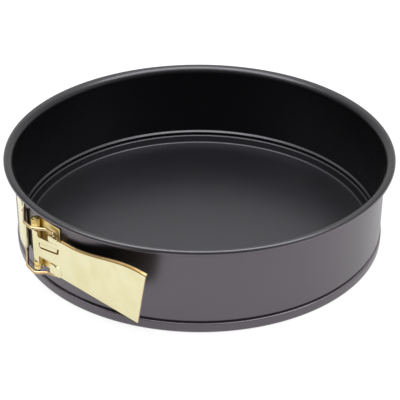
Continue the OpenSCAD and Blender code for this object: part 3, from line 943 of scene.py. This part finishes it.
# %% Stretch the blade
for x in blade_x:
    choose(lever, lambda p: on_column(p, x))
    taller = (column_top(x) - lower_edge(x)) / (NECK - LOW)
    bpy.ops.transform.resize(value=(1, 1, taller), center_override=(0, 0, LOW * MM))
    bpy.ops.transform.translate(value=(0, 0, (lower_edge(x) - LOW) * MM))
bpy.ops.object.mode_set(mode="OBJECT")
crease_z = [v.co.z / MM for v in lever.data.vertices if on_column(v.co / MM, CREASE)]
shares = sorted({round((z - LOW) / (NECK - LOW), 4) for z in crease_z})
bpy.ops.object.mode_set(mode="EDIT")
for share in shares:
    choose(lever, lambda p: p.x > CREASE + 0.1 and abs(share_of(p) - share) < 0.001)
    longer = 1 + SLANT * share / (BLADE_END - CREASE)
    bpy.ops.transform.resize(value=(longer, 1, 1), center_override=(CREASE * MM, 0, 0))
print("blade stretched in", len(shares), "rows")

# %% [markdown]
# The rib is cut free below and at its ends and pushed out there, so it slopes down from its upper
# edge, and it rises a little to the right. Its cut corners are rounded by small moves.

# %% Rib
RIB_MIDDLE, RIB_SLOPE, NOTCH_SLOPE = -5.3, 0.144, 0.06
RIB_ROWS, NOTCH_ROWS = (36.5, 42.5), (43, 45)
RIB_PUSH = ((RIB_EDGE, 0.7), (RIB_CREST, 0.9), (RIB_BACK, 0.85), (RIB_TOP, 0.4))
RIB_CORNERS = (
    (RIB_LEFT, RIB_EDGE, (0.2, 0.3, 0.7)),
    (RIB_RIGHT, RIB_EDGE, (-0.3, 0.3, 0.7)),
    (RIB_RIGHT, SLIT_LOW, (0, 0, 0.4)),
    (SLIT_RIGHT, SLIT_LOW, (-0.1, 0, 1.3)),
    (SLIT_LEFT, SLIT_LOW, (0.5, 0, 1.1)),
)


def between(value, limits):
    """Whether a value lies between two limits."""
    return limits[0] < value < limits[1]


def rib_rise(x):
    """How far the rib is lifted at a column."""
    return RIB_SLOPE * (x - RIB_MIDDLE)


def notch_rise(x):
    """How far the edge of the upper notch is lifted at a column."""
    return NOTCH_SLOPE * (x - RIB_MIDDLE)

for x in [x for x in head_x if SLIT_LEFT <= x <= EAR_STEP]:
    move(lever, lambda p: on_column(p, x) and between(p.z, NOTCH_ROWS), (0, 0, notch_rise(x)))
    move(lever, lambda p: on_column(p, x) and between(p.z, RIB_ROWS), (0, 0, rib_rise(x)))
    if RIB_LEFT <= x <= RIB_RIGHT:
        for z, out in RIB_PUSH:
            move(lever, lambda p: on_column(p, x) and on_row(p, z + rib_rise(x)), (0, -out, 0))
for x, z, by in RIB_CORNERS:
    move(lever, lambda p: on_column(p, x) and on_row(p, z + rib_rise(x)), by)
print("rib pushed out by", max(out for z, out in RIB_PUSH), "mm")

# %% [markdown]
# The ears are pushed out over the ends of the bail, and a lip with a slot closes each one.
# The wire's end slides and turns in that slot.

# %% Ears
EAR, EAR_RISE, EAR_DROP = -135.45, 0.7, 0.1
EAR_ROWS = (
    (EAR_END_HIGH, -134.7), (EAR_BEND_HIGH, -135.2),
    (KNUCKLE_HIGH, EAR), (LIP_HIGH, EAR), (NECK, EAR),
    (EAR_END_LOW, -134.8), (EAR_BEND_LOW, -135.25),
    (KNUCKLE_LOW, EAR), (LIP_LOW, EAR), (LOW, EAR),
)


def over_ear(p):
    """Whether a point lies along the length of the ears."""
    return EAR_LEFT - 0.1 < p.x < EAR_RIGHT + 0.1

for z, y in EAR_ROWS:
    climb = notch_rise if z == EAR_END_HIGH else lambda x: 0
    press(lever, lambda p: over_ear(p) and on_row(p, z + climb(p.x)), y)
    press(lever, lambda p: on_column(p, EAR_STEP) and on_row(p, z + climb(p.x)), (y + FACE) / 2)
move(lever, lambda p: over_ear(p) and on_row(p, NECK), (0, 0, EAR_RISE))
move(lever, lambda p: over_ear(p) and on_row(p, LOW), (0, 0, -EAR_DROP))
print("ears stand out by", round(FACE - EAR, 2), "mm")

# %% Lips of the ears
LIP_STEPS = (0.8, 3.0, 0.4)
LIP_ROUND = 0.6
SLOT = (EAR + LIP_STEPS[0], EAR + LIP_STEPS[0] + LIP_STEPS[1])

for edge in (NECK + EAR_RISE, LOW - EAR_DROP):
    choose(lever, lambda p: over_ear(p) and on_row(p, edge) and p.y < EAR + 0.45)
    for depth in LIP_STEPS:
        bpy.ops.mesh.extrude_region_move(TRANSFORM_OT_translate={"value": (0, depth * MM, 0)})
    cut_away(lever, lambda p: LIP_LEFT < p.x < EAR_RIGHT and between(p.y, SLOT) and on_row(p, edge))
    choose(lever, lambda p: over_ear(p) and on_row(p, edge) and p.y < EAR + 0.05, "EDGE")
    bpy.ops.mesh.bevel(affect="EDGES", offset=LIP_ROUND * MM, segments=3)
print("lips", round(sum(LIP_STEPS), 2), "mm deep")

# %% [markdown]
# The long edges of the blade are bent back towards the wall, which stiffens it and takes the sharp
# edge off the fingers. Each bend is extruded from the edge in small steps, so that it catches the
# light as one soft line. The upper bend faces up and looks browner from its shade, so it gets the
# browner plating of the cut edges as a painted shade.

# %% Bent edges
UPPER_BEND, LOWER_BEND = 1.8, 0.4
BLADE_FROM = 5.9

for edge, way_out, radius in ((upper_edge, 1, UPPER_BEND), (lower_edge, -1, LOWER_BEND)):
    choose(lever, lambda p: p.x > BLADE_FROM and abs(p.y - FACE) < 0.01 and on_row(p, edge(p.x)))
    turns = [math.radians(degrees) for degrees in spaced(0, 90, steps=6)]
    bend = [(radius * (1 - math.cos(t)), radius * math.sin(t)) for t in turns]
    for (y0, z0), (y1, z1) in zip(bend, bend[1:]):
        step = (0, (y1 - y0) * MM, way_out * (z1 - z0) * MM)
        bpy.ops.mesh.extrude_region_move(TRANSFORM_OT_translate={"value": step})
bpy.ops.object.mode_set(mode="OBJECT")
# The faces of the upper bend get the browner plating: painted shade.
for face in lever.data.polygons:
    middle = face.center / MM
    if middle.x > BLADE_FROM and middle.z > upper_edge(middle.x) + 0.3:
        face.material_index = CUT_EDGE_AND_BEND_SHADE
reach = [v.co.y / MM for v in lever.data.vertices if v.co.x / MM > BLADE_END - 2]
print("bent edges at the free end from", round(min(reach), 2), "to", round(max(reach), 2))

# %% [markdown]
# Last, the faces are turned so that the blade looks outwards, and the sheet gets its thickness
# towards the wall. The back of the blade gets the dark dull copy of the plating, a painted shade,
# and the inner faces of the head get the deeper gold painted for the light and shade of the hinge.

# %% Close the lever
bpy.ops.object.mode_set(mode="EDIT")
bpy.ops.mesh.select_mode(type="VERT")
bpy.ops.mesh.select_all(action="SELECT")
bpy.ops.mesh.normals_make_consistent(inside=False)
bpy.ops.object.mode_set(mode="OBJECT")
blade = [f for f in lever.data.polygons
         if f.center.x / MM > 30 and f.center.y / MM < FACE + 0.05]
if sum(f.normal.y * f.area for f in blade) > 0:
    bpy.ops.object.mode_set(mode="EDIT")
    bpy.ops.mesh.flip_normals()
bpy.ops.object.mode_set(mode="EDIT")
# The back of the blade gets the dark dull copy of the plating: painted shade.
finish_sheet(lever, LEVER_SHEET, plating, blade_back_shade_plating, offset=-1)
# The inner faces of the head get the deeper gold: painted light and shade of the hinge.
lever.data.materials.append(hinge_painted_gold)
for face in lever.data.polygons:
    if face.material_index == INSIDE and face.center.x < CREASE * MM:
        face.material_index = HEAD_INSIDE_PAINTED
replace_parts(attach(lever, "lever"), "lever")
